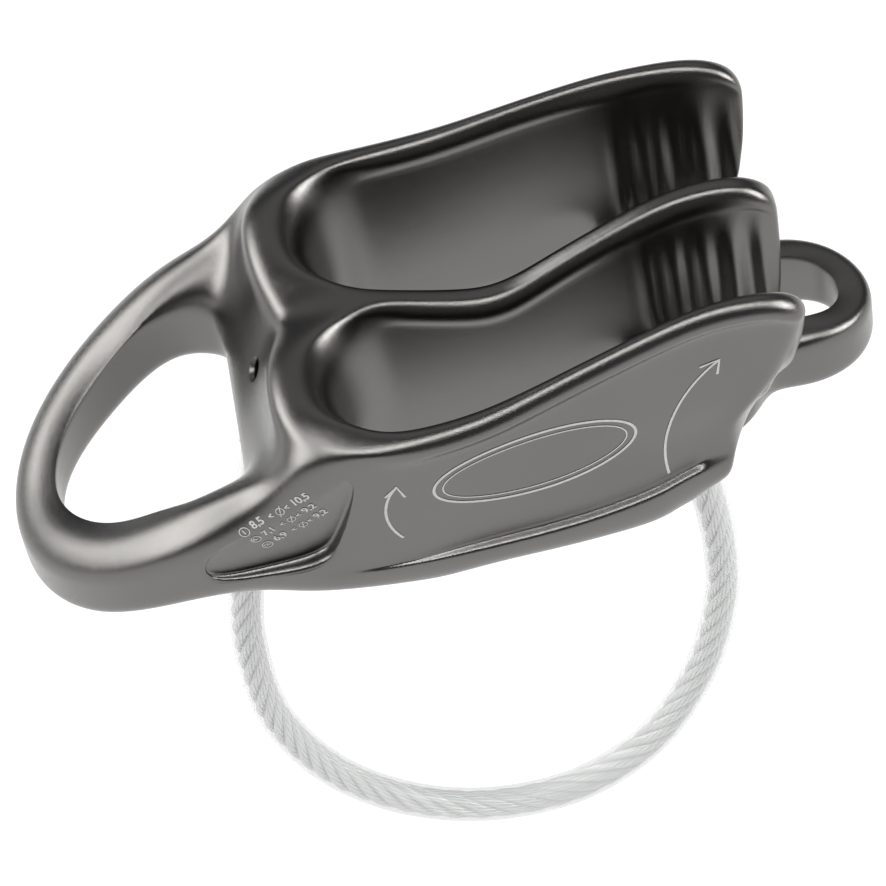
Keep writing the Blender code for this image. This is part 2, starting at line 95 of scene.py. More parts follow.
def soft_box(name, place, width, height, power):
    """A soft box of the given size in metres and power in watts, aimed at the device."""
    lamp = bpy.data.lights.new(name, "AREA")
    lamp.shape = "RECTANGLE"
    lamp.size = width
    lamp.size_y = height
    lamp.energy = power
    holder = bpy.data.objects.new(name, lamp)
    bpy.context.scene.collection.objects.link(holder)
    holder.location = place
    holder.rotation_euler = (Vector(LIT_MIDDLE) - Vector(place)).to_track_quat("-Z", "Y").to_euler()


soft_box("left_box", (-0.85, 0.15, 0.45), 1.3, 0.5, 10.0)
soft_box("right_box", (0.9, -0.2, 0.43), 0.5, 0.45, 6.5)
soft_box("top_box", (0.0, -0.33, 0.9), 1.4, 0.34, 8.0)
soft_box("back_box", (0.1, 0.75, 0.9), 1.6, 0.8, 1.1)

# Blasted grain, shared by the body's and the sleeves' metal: both are blasted with fine beads
# before they are finished, which leaves small pits that break up each highlight.
GRAIN_HEIGHT = 0.00003

blasted_grain = bpy.data.node_groups.new("blasted_grain", "ShaderNodeTree")
blasted_grain.interface.new_socket("Vector", in_out="INPUT", socket_type="NodeSocketVector")
blasted_grain.interface.new_socket("Scale", in_out="INPUT", socket_type="NodeSocketFloat")
blasted_grain.interface.new_socket("Depth", in_out="INPUT", socket_type="NodeSocketFloat")
blasted_grain.interface.new_socket("Normal", in_out="OUTPUT", socket_type="NodeSocketVector")
group_in = blasted_grain.nodes.new("NodeGroupInput")
group_out = blasted_grain.nodes.new("NodeGroupOutput")
pits = blasted_grain.nodes.new("ShaderNodeTexNoise")
pits.inputs["Detail"].default_value = 2.0
pits.inputs["Roughness"].default_value = 0.6
pit_bump = blasted_grain.nodes.new("ShaderNodeBump")
pit_bump.inputs["Distance"].default_value = GRAIN_HEIGHT
blasted_grain.links.new(group_in.outputs["Vector"], pits.inputs["Vector"])
blasted_grain.links.new(group_in.outputs["Scale"], pits.inputs["Scale"])
blasted_grain.links.new(pits.outputs["Fac"], pit_bump.inputs["Height"])
blasted_grain.links.new(group_in.outputs["Depth"], pit_bump.inputs["Strength"])
blasted_grain.links.new(pit_bump.outputs["Normal"], group_out.inputs["Normal"])

# Keeper loop: six strands of fine galvanised wire laid round a core, in a clear plastic coating.
# Both ends are gripped by sleeves in the body, and the rope is drawn as one piece from inside one
# socket to inside the other.
LOOP_ROUTE = [
    (11.4, -3.6),
    (8.8, -15.0),
    (5.8, -28.0),
    (4.4, -39.5),
    (5.2, -54.0),
    (10.3, -67.2),
    (18.7, -76.6),
    (29.0, -81.4),
    (40.4, -80.9),
    (50.4, -73.9),
    (57.6, -61.4),
    (61.1, -48.5),
    (61.8, -38.6),
    (61.3, -29.5),
    (60.0, -20.5),
    (57.6, -10.5),
    (55.4, -2.7),
]
BRAKE_EXIT_LEAN = 0.05
COATING_RADIUS = 2.15 * MM
COATING_REACH = 1.0 * MM
COATING_STEP = 1.0 * MM
COATING_SIDES = 28
STRAND_REACH = 5.6 * MM
STRAND_STEP = 0.75 * MM
STRANDS = 6
STRAND_LAY = 20.7 * MM
STRAND_CENTRE = 1.18 * MM
WIRES = 6
WIRE_LAY = 8.5 * MM
WIRE_CENTRE = 0.39 * MM
WIRE_RADIUS = 0.21 * MM
WIRE_SIDES = 5
CURVE_STEPS = 40


def loop_line(reach, spacing):
    """Points at an even spacing along the loop, from inside one socket to inside the other."""
    route = [Vector((x, 0.0, z)) * MM for x, z in LOOP_ROUTE]
    first_way = (route[0] - route[1]).normalized()
    last_way = Vector((BRAKE_EXIT_LEAN, 0.0, 1.0)).normalized()
    knots = [route[0] + first_way * reach, *route, route[-1] + last_way * reach]
    knots = [knots[0] * 2 - knots[1], *knots, knots[-1] * 2 - knots[-2]]
    fine = []
    for a, b, c, d in zip(knots, knots[1:], knots[2:], knots[3:]):
        for step in range(CURVE_STEPS):
            t = step / CURVE_STEPS
            square = (a * 2 - b * 5 + c * 4 - d) * t**2
            cube = (b * 3 - a - c * 3 + d) * t**3
            fine.append(b + ((c - a) * t + square + cube) / 2)
    fine.append(knots[-2])
    fine = np.array(fine)
    along = np.concatenate([[0.0], np.cumsum(np.linalg.norm(np.diff(fine, axis=0), axis=1))])
    even = np.linspace(0.0, along[-1], round(along[-1] / spacing) + 1)
    return even, np.stack([np.interp(even, along, fine[:, axis]) for axis in range(3)], axis=1)


def unit(rows):
    return rows / np.linalg.norm(rows, axis=1, keepdims=True)


def wound(centres, radius, turns):
    """Points that wind round a line of centres, at the given turn for each point."""
    ahead = unit(np.gradient(centres, axis=0))
    side = unit(np.cross(np.array([0.0, 1.0, 0.0]), ahead))
    out = np.cross(ahead, side)
    turns = turns[:, None]
    return centres + radius * (np.cos(turns) * side + np.sin(turns) * out)


def tube_rings(centres, radius, sides):
    """Rings of points round a line of centres, for a tube with the given number of sides."""
    rings = []
    for k in range(sides):
        rings.append(wound(centres, radius, np.full(len(centres), 2 * math.pi * k / sides)))
    return np.stack(rings, axis=1)


def tubes_mesh(name, tubes):
    """One mesh of closed tubes, each given by its rings of points."""
    points = []
    faces = []
    for rings in tubes:
        base = len(points)
        count, sides = rings.shape[:2]
        points.extend(map(tuple, rings.reshape(-1, 3)))
        for i in range(count - 1):
            for k in range(sides):
                n = (k + 1) % sides
                low = base + i * sides
                faces.append((low + k, low + n, low + sides + n, low + sides + k))
        faces.append(tuple(base + k for k in reversed(range(sides))))
        faces.append(tuple(base + (count - 1) * sides + k for k in range(sides)))
    mesh = bpy.data.meshes.new(name)
    mesh.from_pydata(points, [], faces)
    mesh.validate()
    skin = bmesh.new()
    skin.from_mesh(mesh)
    bmesh.ops.recalc_face_normals(skin, faces=skin.faces)
    skin.to_mesh(mesh)
    skin.free()
    mesh.shade_smooth()
    return mesh


along, core = loop_line(STRAND_REACH, STRAND_STEP)
wires = []
for strand in range(STRANDS):
    strand_line = wound(core, STRAND_CENTRE, 2 * math.pi * (along / STRAND_LAY + strand / STRANDS))
    for wire in range(WIRES):
        turns = 2 * math.pi * (-along / WIRE_LAY + wire / WIRES)
        wires.append(tube_rings(wound(strand_line, WIRE_CENTRE, turns), WIRE_RADIUS, WIRE_SIDES))
strands = bpy.data.objects.new("keeper_strands", tubes_mesh("keeper_strands", wires))
bpy.context.scene.collection.objects.link(strands)

wire_metal = bpy.data.materials.new("galvanised_wire")
wire_metal.use_nodes = True
shader = wire_metal.node_tree.nodes["Principled BSDF"]
shader.inputs["Metallic"].default_value = 0.85
shader.inputs["Roughness"].default_value = 0.35
shader.inputs["Base Color"].default_value = (0.62, 0.63, 0.62, 1.0)
strands.data.materials.append(wire_metal)

sheath_along, sheath_core = loop_line(COATING_REACH, COATING_STEP)
sheath_rings = tube_rings(sheath_core, COATING_RADIUS, COATING_SIDES)
sheath = bpy.data.objects.new("keeper_sheath", tubes_mesh("keeper_sheath", [sheath_rings]))
bpy.context.scene.collection.objects.link(sheath)
clear_coat = bpy.data.materials.new("clear_coating")
clear_coat.use_nodes = True
shader = clear_coat.node_tree.nodes["Principled BSDF"]
shader.inputs["Base Color"].default_value = (0.93, 0.94, 0.93, 1.0)
shader.inputs["Roughness"].default_value = 0.28
shader.inputs["Alpha"].default_value = 0.46
sheath.data.materials.append(clear_coat)

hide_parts("keeper_rope", "anchor_rope_end", "brake_rope_end")
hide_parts("keeper_coating")
for piece in (strands, sheath):
    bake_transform(piece)

# Sleeves: plain alloy ferrules on the rope's two ends. They are squeezed on with a swaging tool,
# and sit deep in the body's two sockets, which hold them.
sleeve_alloy = bpy.data.materials.new("swaged_alloy")
sleeve_alloy.use_nodes = True
shader = sleeve_alloy.node_tree.nodes["Principled BSDF"]
shader.inputs["Metallic"].default_value = 1.0
shader.inputs["Roughness"].default_value = 0.4
shader.inputs["Base Color"].default_value = (0.5, 0.5, 0.5, 1.0)
place = sleeve_alloy.node_tree.nodes.new("ShaderNodeTexCoord")
grain = sleeve_alloy.node_tree.nodes.new("ShaderNodeGroup")
grain.node_tree = blasted_grain
grain.inputs["Scale"].default_value = 3600.0
grain.inputs["Depth"].default_value = 0.4
sleeve_alloy.node_tree.links.new(place.outputs["Object"], grain.inputs["Vector"])
sleeve_alloy.node_tree.links.new(grain.outputs["Normal"], shader.inputs["Normal"])
for node in ("anchor_end_sleeve", "brake_end_sleeve"):
    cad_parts[node].data.materials.clear()
    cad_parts[node].data.materials.append(sleeve_alloy)

# Forged body: one hot-forged alloy piece with two rope slots, a divider, two side plates with
# rails, the big anchor ring and the small release eye. It is drawn as a cage of blocks on one side
# of the middle plane, mirrored, and rounded by subdivision, which gives the soft radii of a
# forging.
HALF_WIDTH = 22.75
WALL = 3.0
DIVIDER = 3.2
SLOT_START = 21.3
SLOT_END = 53.5
FIN_END = 70.3
FIN_TAPER = 3.7
PLATE_BOTTOM = -7.3
LEAN_FROM = -2.0
LEAN_FULL = 15.5
INNER_LEAN_SHARE = 0.6
SLOT_DRAFT = 0.115
DIVIDER_SLOT_DRAFT = 0.085
FIN_DRAFT_SHARE = 0.4
DRAFT_FROM = 15.5

# Rails along the upper edges of the plates and the divider: how far they bulge and round off, how
# far below the crest they start and are widest, and each face's share of the bulge.
RAIL_BULGE = 0.55
RAIL_ROUND = 0.8
RAIL_DEPTH = 3.0
RAIL_EDGE = 1.7
RAIL_OUTER_SHARE = 0.8
RAIL_INNER_SHARE = 0.6
RAIL_DIVIDER_SHARE = 0.7

# Columns run along X from the end wall to the fins' ends, rows across from the middle plane to the
# side plate's outer face, and levels up from the bottom to the rails' crests.
COLUMN_X = [9.8, 13.9, 27.0, 30.0, 36.0, 41.0, 47.0, 53.5, 57.7, 61.5, 65.3, 69.0, 71.6]
FOOT, LIP, CORNER, BRIDGE_START, FIN = 0, 1, 2, 7, 12
MIDDLE, DIVIDER_FACE, NEAR, HALF_WAY, FAR, PLATE_INNER, PLATE_OUTER = range(7)
BOTTOM, LOW, FIELD_FOOT, RING_TOP, WAIST, RAIL_FOOT, RAIL_SIDE, CREST = range(8)

# One value for each column from the corner on: heights of the rails' crests, of the lower edges
# above PLATE_BOTTOM and of the ridge along the plate's foot, then the share of the fins' taper,
# and how far a plate leans in.
SIDE_RAIL = [18.2, 18.1, 18.7, 20.0, 21.9, 23.7, 24.7, 25.2, 25.2, 24.5, 22.5]
DIVIDER_RAIL = [17.8, 16.7, 14.8, 13.8, 17.3, 20.6, 22.5, 23.7, 24.1, 23.7, 21.6]
SIDE_BOTTOM = [0.9, 1.2, 2.0, 1.9, 1.9, 1.6, 1.6, 1.9, 2.6, 3.6, 4.9]
INNER_BOTTOM = [0.5, 0.1, 0.6, 1.5, 1.9, 1.6, 1.6, 1.9, 2.6, 3.6, 4.9]
RIDGE = [-1.6, -1.5, -1.2, -0.9, -0.5, 0.2, 0.5, 0.7, 0.9, 1.1, 1.3]
TAPER_SHARE = [0.0, 0.0, 0.0, 0.0, 0.06, 0.27, 0.47, 0.64, 0.78, 0.89, 1.0]
PLATE_LEAN = [0.0, 0.0, 0.25, 0.85, 1.35, 1.3, 1.1, 0.93, 0.57, 0.4, 0.3]

# One value for each level: the V groove's flare, the shallow field above the ridge, and the fins'
# end lines.
NOTCH_SHARE = [1.0, 1.0, 1.0, 1.0, 0.45, 0.08, 0.0, 0.0]
FIELD_SHARE = [0.0, 0.0, 1.0, 1.0, 0.8, 0.4, 0.0, 0.0]
FIN_LINE_OUTER = [-7.9, -7.3, -7.2, -7.4, -2.0, 0.9, 1.4, 1.2]
FIN_LINE_INNER = [-8.2, -6.8, -4.4, -0.8, 2.2, 2.4, 2.1, 1.2]
FIN_LINE_DIVIDER = [0, 0, 0.6, 1.3, 1.9, 2.0, 1.9, 1.2]
NOTCH_FLARE = 3.6
NOTCH_START_SHARE = 0.3
FLUTE = 1.0
FLUTE_TOP_SHARE = 0.3
FIELD_DEPTH = 1.2
FIELD_START = 0.5
FIELD_RISE = 0.25
FIELD_FADE_COLUMNS = 3.0
RIDGE_WIDTH = 0.3

# Bridge under the V grooves, which joins the fins and carries the eye. Its valley dips between the
# fins, and its rows follow the eye's hole and bar, so that the eye grows out of it.
EYE_HOLE = 4.75
EYE_BAR = 3.5
BRIDGE_BOTTOM = -2.6
BRIDGE_TOP = 6.2
BRIDGE_END = FIN_END - 1.8
BRIDGE_END_CUT = [2.4, 1.8, 1.0, 0.4]
BRIDGE_REACH_COLUMNS = 6.0
BRIDGE_VALLEY = {NEAR: -2.4, HALF_WAY: -4.4, FAR: -2.6}
VALLEY_END_SHARE = 0.4
LOW_LINE = (-1.0, 1.0)
TOP_START = 3.0
TOP_RISE_FROM = 3
TOP_RISE_COLUMNS = 2.0
WAIST_LINE = (7.6, 11.5)
NOTCH_WAIST = 8.4


def share_between(a, b, share):
    return a + (b - a) * share


def flute(column, level):
    """Upright waves in the fins' inner faces, one way and the other by turns."""
    if not BRIDGE_START < column < FIN or level > RAIL_FOOT:
        return 0.0
    return (1 if column % 2 == 0 else -1) * (FLUTE_TOP_SHARE if level == RAIL_FOOT else 1.0) * FLUTE


def notch(column, level):
    if column < BRIDGE_START:
        return 0.0
    start_share = NOTCH_START_SHARE if column == BRIDGE_START else 1.0
    return NOTCH_FLARE * NOTCH_SHARE[level] * start_share + flute(column, level)


def rail_heights(bottom, low, top, waist, crest, depth=RAIL_DEPTH, edge=RAIL_EDGE):
    """A side's heights, one for each level, for a rail with the given depth and edge."""
    foot = share_between(low, top, 0.3)
    return [bottom, low, foot, top, waist, crest - depth, crest - edge, crest]


def fin_end(row, level):
    """Where a fin ends: its outer face is cut back in a hollow curve under the corner."""
    if row == PLATE_OUTER:
        return FIN_END + FIN_LINE_OUTER[level]
    if row == PLATE_INNER:
        return FIN_END + FIN_LINE_INNER[level]
    if row <= DIVIDER_FACE and level >= FIELD_FOOT:
        return FIN_END + FIN_LINE_DIVIDER[level]
    if level <= RING_TOP:
        return BRIDGE_END - BRIDGE_END_CUT[level] * (1.0 if row == FAR else 0.0)
    return FIN_END


def plate_point(column, row, level):
    """A cage corner of the divider, the bridge or the side plate."""
    index = column - CORNER
    rail = (DIVIDER_RAIL if row <= DIVIDER_FACE else SIDE_RAIL)[index]
    bottom = PLATE_BOTTOM + (SIDE_BOTTOM if row == PLATE_OUTER else INNER_BOTTOM)[index]
    if row <= HALF_WAY:
        bottom = share_between(bottom, BRIDGE_BOTTOM, min(1.0, index / BRIDGE_REACH_COLUMNS))
    end_share = max(0.0, (column - BRIDGE_START) / (FIN - BRIDGE_START))
    low = share_between(*LOW_LINE, end_share)
    valley = BRIDGE_VALLEY.get(row, 0.0) * (VALLEY_END_SHARE if column == FIN else 1.0)
    risen = min(1.0, max(0.0, index - TOP_RISE_FROM) / TOP_RISE_COLUMNS)
    top = share_between(TOP_START, BRIDGE_TOP, risen) + valley
    waist = share_between(*WAIST_LINE, end_share)
    if column in (BRIDGE_START - 1, BRIDGE_START):
        waist = NOTCH_WAIST
    heights = rail_heights(bottom, min(low, share_between(bottom, top, 0.5)), top, waist, rail)
    if row == PLATE_OUTER:
        heights[LOW] = RIDGE[index]
        heights[FIELD_FOOT] = RIDGE[index] + RIDGE_WIDTH
    height = heights[level]
    x = COLUMN_X[column]
    if column >= BRIDGE_START:
        along_fin = (x - SLOT_END) / (COLUMN_X[FIN] - SLOT_END)
        x = share_between(SLOT_END, fin_end(row, level), along_fin)
    draft = max(0.0, DRAFT_FROM - height) * (1.0 if column < BRIDGE_START else FIN_DRAFT_SHARE)
    lean = PLATE_LEAN[index] * min(1.0, max(0.0, (height - LEAN_FROM) / (LEAN_FULL - LEAN_FROM)))
    outer = HALF_WIDTH - FIN_TAPER * TAPER_SHARE[index] - lean
    inner = HALF_WIDTH - FIN_TAPER * TAPER_SHARE[index] - lean * INNER_LEAN_SHARE - WALL
    bulge = RAIL_BULGE if level == RAIL_SIDE else (-RAIL_ROUND if level == CREST else 0.0)
    field = FIELD_DEPTH * FIELD_SHARE[level]
    field *= min(1.0, FIELD_START + index * FIELD_RISE, (FIN + 1 - column) / FIELD_FADE_COLUMNS)
    divider = DIVIDER / 2 + notch(column, level) * 0.5
    across = {
        MIDDLE: 0.0,
        DIVIDER_FACE: divider + bulge * RAIL_DIVIDER_SHARE + draft * DIVIDER_SLOT_DRAFT,
        NEAR: EYE_HOLE,
        HALF_WAY: EYE_HOLE + EYE_BAR,
        FAR: share_between(EYE_HOLE + EYE_BAR, inner, 0.5),
        PLATE_INNER: inner - notch(column, level) - bulge * RAIL_INNER_SHARE - draft * SLOT_DRAFT,
        PLATE_OUTER: outer + bulge * RAIL_OUTER_SHARE - field,
    }
    return (x, across[row], height)


# End wall between the slots and the ring, with its lip rolled over. The tables have one value for
# each row, but LIP_LEAN_SHARE and the sections and heights have one for each level.
WALL_FOOT = 9.8
WALL_FOOT_IN = 1.1
WALL_BOTTOM = -3.9
WALL_FOOT_SPREAD = [0.0, 0.16, 0.33, 0.48, 0.62, 0.81, 0.98]
WALL_FOOT_TOP = [4.4, 4.4, 4.6, 5.4, 8.6, 11.6, 9.4]
WALL_FOOT_LOW = [0.0, 0.0, 0.0, 0.0, 0.6, 3.0, 3.0]
WALL_LIP = 13.9
LIP_TOP = 19.2
LIP_SPREAD = [0.0, 0.08, 0.25, 0.47, 0.70, 0.866, 1.0]
LIP_NARROWING = [1.0, 1.0, 1.0, 1.0, 1.0, 0.99, 0.97]
LIP_CREST = [-1.5, -1.4, -0.4, 0.0, 0.0, -0.8, -1.5]
LIP_SHOULDER = [9.6, 9.8, 10.6, 11.2, 12.0, 13.6, 12.0]
LIP_CREASE = [13.0, 13.2, 14.4, 15.2, 15.8, 16.0, 15.6]
LIP_LEAN = [2.6, 2.3, 0.7, 0.0, 0.8, 4.0, 6.6]
LIP_LEAN_SHARE = [0.0, 0.0, 0.0, 0.0, 0.4, 0.7, 0.9, 1.0]
LIP_SECTION = [1.5, 0.5, 0.1, -0.6, 0.1, 0.2, 0.7, 2.4]
LIP_LOWER_HEIGHTS = [-5.0, 0.0, 4.5]
LIP_RIDGE_HEIGHTS = [-5.0, -1.9, -1.6]
CORNER_BACK = [5.7, 5.7, 1.3, 0.0, 1.3, 5.7, 5.7]
CORNER_ROLL = [0.0, 0.4, 1.0, 1.0, 1.0, 0.6, 0.2]
CORNER_SECTION = [1.8, 1.5, 1.2, 0.8, 0.5, -0.1, -1.5, -3.3]
CORNER_TURN = 0.18
CORNER_RAIL_DEPTH = 4.4
CORNER_RAIL_EDGE = 1.5
CORNER_LOW = -1.0
CORNER_SHOULDER = 3.6
CORNER_WAIST = (8.4, 8.8)


def wall_foot_point(row, level):
    y = (HALF_WIDTH - WALL_FOOT_IN) * WALL_FOOT_SPREAD[row]
    low, top = WALL_FOOT_LOW[row], WALL_FOOT_TOP[row]
    return (WALL_FOOT, y, [WALL_BOTTOM, low, share_between(low, top, 0.4), top][level])


def lip_point(row, level):
    x = WALL_LIP + LIP_LEAN[row] * LIP_LEAN_SHARE[level] + LIP_SECTION[level]
    y = HALF_WIDTH * LIP_SPREAD[row] * LIP_NARROWING[row]
    crest = LIP_TOP + LIP_CREST[row]
    crease = LIP_CREASE[row]
    rising = [share_between(crease, crest, 0.45), share_between(crease, crest, 0.8)]
    lower = LIP_RIDGE_HEIGHTS if row == PLATE_OUTER else LIP_LOWER_HEIGHTS
    return (x, y, [*lower, LIP_SHOULDER[row], crease, *rising, crest][level])


def corner_point(row, level):
    y = HALF_WIDTH * LIP_SPREAD[row]
    roll = CORNER_ROLL[row]
    rolled = CORNER_SECTION[level] * roll
    depth = share_between(RAIL_DEPTH, CORNER_RAIL_DEPTH, roll)
    edge = share_between(RAIL_EDGE, CORNER_RAIL_EDGE, roll)
    bottom = PLATE_BOTTOM + SIDE_BOTTOM[0]
    waist = share_between(*CORNER_WAIST, roll)
    crest = LIP_TOP + LIP_CREST[row]
    heights = rail_heights(bottom, CORNER_LOW, CORNER_SHOULDER, waist, crest, depth, edge)
    if row == PLATE_OUTER:
        heights[LOW] = RIDGE[0]
        heights[FIELD_FOOT] = RIDGE[0] + RIDGE_WIDTH
    draft = max(0.0, DRAFT_FROM - heights[level])
    side = {
        DIVIDER_FACE: DIVIDER / 2 + draft * DIVIDER_SLOT_DRAFT,
        NEAR: y + rolled * CORNER_TURN,
        FAR: y - rolled * CORNER_TURN,
        PLATE_INNER: HALF_WIDTH - WALL - draft * SLOT_DRAFT,
        PLATE_OUTER: y - FIELD_DEPTH * FIELD_START * FIELD_SHARE[level],
    }.get(row, y)
    bulge = RAIL_BULGE * (1 - roll) if level == RAIL_SIDE else 0.0
    return (SLOT_START + CORNER_BACK[row] + rolled - bulge * 0.5, side, heights[level])


def body_point(column, row, level):
    if column == FOOT:
        return wall_foot_point(row, level)
    if column == LIP:
        return lip_point(row, level)
    return corner_point(row, level) if column == CORNER else plate_point(column, row, level)


# Anchor ring, from its arm on the end wall to its tip. The turns and the rise have one value for
# each step after the arm, the puff makes up for what rounding takes off the cage, and the flats
# set its section.
RING_MIDDLE = 6.9
RING_REACH = 21.3
RING_SPREAD = 17.5
RING_BAR = 5.2
RING_HEIGHT = 6.9
ARM_BAR = 6.8
ARM_HEIGHT = 10.8
RING_SLOPE = 0.5
RING_TURNS = [80.0, 52.0, 26.0, 0.0]
RING_STEPS = len(RING_TURNS)
RING_RISE = [1.2, -0.3, 0.0, 0.0]
RING_RISE_SHARE = [1.1, 0.8, 0.5]
RING_PUFF = 1.035
RING_FLATS = [-0.94, -0.36, 0.36, 1.0]
RING_MIDDLE_HEIGHT = 1.06
RING_SIDE_HEIGHT = 0.84


def ring_point(step, across, level):
    if step == 0:
        return body_point(FOOT, FAR + across, level)
    angle = math.radians(RING_TURNS[step - 1])
    share = math.sin(angle)
    bar = share_between(RING_BAR, ARM_BAR, share) * (across - 1) / 2
    x = RING_MIDDLE - (RING_REACH + bar) * RING_PUFF * math.cos(angle)
    half = share_between(RING_HEIGHT, ARM_HEIGHT, share) / 2
    half *= RING_MIDDLE_HEIGHT if across == 1 else RING_SIDE_HEIGHT
    y = (RING_SPREAD + bar) * RING_PUFF * share
    rise = RING_RISE[step - 1] * RING_RISE_SHARE[across]
    return (x, y, RING_SLOPE * x + rise + RING_FLATS[level] * half)


# Release eye at the brake end, on the bridge: the same values, for its three steps round the hole.
EYE_CENTRE = 73.2
EYE_BOTTOM = -3.4
EYE_TOP = 4.6
EYE_TURNS = [90.0, 45.0, 0.0]
EYE_STEPS = len(EYE_TURNS)
EYE_RISE = [0.9, -0.4, -1.2]
EYE_PUFF_HOLE = [1.0, 1.1, 1.19]
EYE_PUFF_RIM = [1.05, 1.12, 1.18]
EYE_LEVELS = [0.0, 0.33, 0.66, 1.0]


def eye_point(step, across, level):
    if step == 0:
        return body_point(FIN, NEAR + across, level)
    radius = EYE_HOLE + EYE_BAR * across
    radius *= (EYE_PUFF_RIM if across else EYE_PUFF_HOLE)[step - 1]
    angle = math.radians(EYE_TURNS[step - 1])
    height = share_between(EYE_BOTTOM, EYE_TOP + EYE_RISE[step - 1], EYE_LEVELS[level])
    return (EYE_CENTRE + radius * math.cos(angle), radius * math.sin(angle), height)


def block(corner_at, column, row, level):
    steps = ((0, 0), (1, 0), (1, 1), (0, 1))
    return [corner_at(column + i, row + j, level + k) for k in (0, 1) for i, j in steps]


BLOCK_SIDES = [(0, 3, 2, 1), (4, 5, 6, 7), (0, 1, 5, 4), (1, 2, 6, 5), (2, 3, 7, 6), (3, 0, 4, 7)]
KEY_FINENESS = 1e4
blocks = []
for row in range(PLATE_OUTER):
    blocks += [block(body_point, FOOT, row, level) for level in range(RING_TOP)]
    blocks += [block(body_point, LIP, row, level) for level in range(CREST)]
for column in range(CORNER, FIN):
    for row in (MIDDLE, PLATE_INNER):
        blocks += [block(body_point, column, row, level) for level in range(CREST)]
for column in range(BRIDGE_START, FIN):
    for row in range(DIVIDER_FACE, PLATE_INNER):
        blocks += [block(body_point, column, row, level) for level in range(RING_TOP)]
for step in range(RING_STEPS):
    for across in (0, 1):
        blocks += [block(ring_point, step, across, level) for level in range(RING_TOP)]
for step in range(EYE_STEPS):
    blocks += [block(eye_point, step, 0, level) for level in range(RING_TOP)]


def key_of(point):
    return tuple(round(value * KEY_FINENESS) for value in point)


cage = bmesh.new()
corner_of = {}
block_faces = {}
for corners in blocks:
    for sides in BLOCK_SIDES:
        face = [corners[i] for i in sides]
        block_faces.setdefault(frozenset(map(key_of, face)), []).append(face)
for faces in block_faces.values():
    if len(faces) > 1 or all(point[1] == 0 for point in faces[0]):
        continue
    for point in faces[0]:
        if key_of(point) not in corner_of:
            corner_of[key_of(point)] = cage.verts.new(Vector(point) * MM)
    cage.faces.new([corner_of[key_of(point)] for point in faces[0]])
bmesh.ops.recalc_face_normals(cage, faces=cage.faces)

# Lines that stay sharp in the forging: under the lip, along the rails' lower edges, between the
# fins' flutes, along the ridge at the plate's foot, and round the insides of the ring and the eye.
sharpness = cage.edges.layers.float.new("crease_edge")


def sharpen(corners, amount):
    for a, b in zip(corners, corners[1:]):
        edge = cage.edges.get([corner_of[key_of(a)], corner_of[key_of(b)]])
        if edge:
            edge[sharpness] = amount


sharpen([body_point(LIP, row, WAIST) for row in range(DIVIDER_FACE, PLATE_OUTER)], 0.7)
for row in (DIVIDER_FACE, PLATE_INNER):
    sharpen([body_point(column, row, RAIL_FOOT) for column in range(CORNER, FIN + 1)], 0.6)
    for column in range(BRIDGE_START + 1, FIN, 2):
        sharpen([body_point(column, row, level) for level in range(RING_TOP, RAIL_FOOT)], 0.9)
for level, amount in ((LOW, 0.35), (FIELD_FOOT, 0.45)):
    sharpen([body_point(column, PLATE_OUTER, level) for column in range(LIP, FIN - 1)], amount)
sharpen([body_point(column, PLATE_OUTER, RAIL_FOOT) for column in range(CORNER, FIN + 1)], 0.4)
sharpen([ring_point(step, 0, RING_TOP) for step in range(1, RING_STEPS + 1)], 0.5)
sharpen([eye_point(step, 0, RING_TOP) for step in range(EYE_STEPS + 1)], 0.6)
body_mesh = bpy.data.meshes.new("body_forging")
cage.to_mesh(body_mesh)
cage.free()
body = bpy.data.objects.new("body_forging", body_mesh)
bpy.context.scene.collection.objects.link(body)
body_mesh.shade_smooth()


def finish_modifiers(piece):
    bpy.ops.object.select_all(action="DESELECT")
    piece.select_set(True)
    bpy.context.view_layer.objects.active = piece
    for step in list(piece.modifiers):
        bpy.ops.object.modifier_apply(modifier=step.name)


BODY_LEVELS = 3
mirror = body.modifiers.new("other_half", "MIRROR")
mirror.use_axis = (False, True, False)
mirror.use_clip = True
mirror.merge_threshold = 0.01 * MM
rounding = body.modifiers.new("forged_radii", "SUBSURF")
rounding.levels = BODY_LEVELS
rounding.render_levels = BODY_LEVELS
finish_modifiers(body)

# Brake ribs: upright ribs forged into the fins' inner faces, which squeeze the rope in the
# grooves. They fade in and out along the groove, between the bridge and the rails, and just inside
# the plates' outer faces.
RIB_PITCH = 3.3
RIB_HEIGHT = 0.3
RIB_START = (55.0, 57.5)
RIB_END = (71.5, 70.0)
RIB_FOOT = (5.5, 8.5)
RIB_TOP = (21.0, 13.0)
RIB_OUTER = (17.9, 17.5)


def ease(value, start, stop):
    """How far a value has come from start to stop, from 0 to 1, with a soft start and end."""
    share = min(1.0, max(0.0, (value - start) / (stop - start)))
    return share * share * (3.0 - 2.0 * share)


skin_normals = [vertex.normal.copy() for vertex in body.data.vertices]
for vertex, normal in zip(body.data.vertices, skin_normals):
    x, y, z = vertex.co / MM
    reach = ease(x, *RIB_START) * ease(x, *RIB_END) * ease(z, *RIB_FOOT) * ease(z, *RIB_TOP)
    reach *= ease(abs(y), *RIB_OUTER) * abs(normal.y)
    vertex.co += normal * (reach * RIB_HEIGHT * math.sin(2 * math.pi * x / RIB_PITCH) * MM)

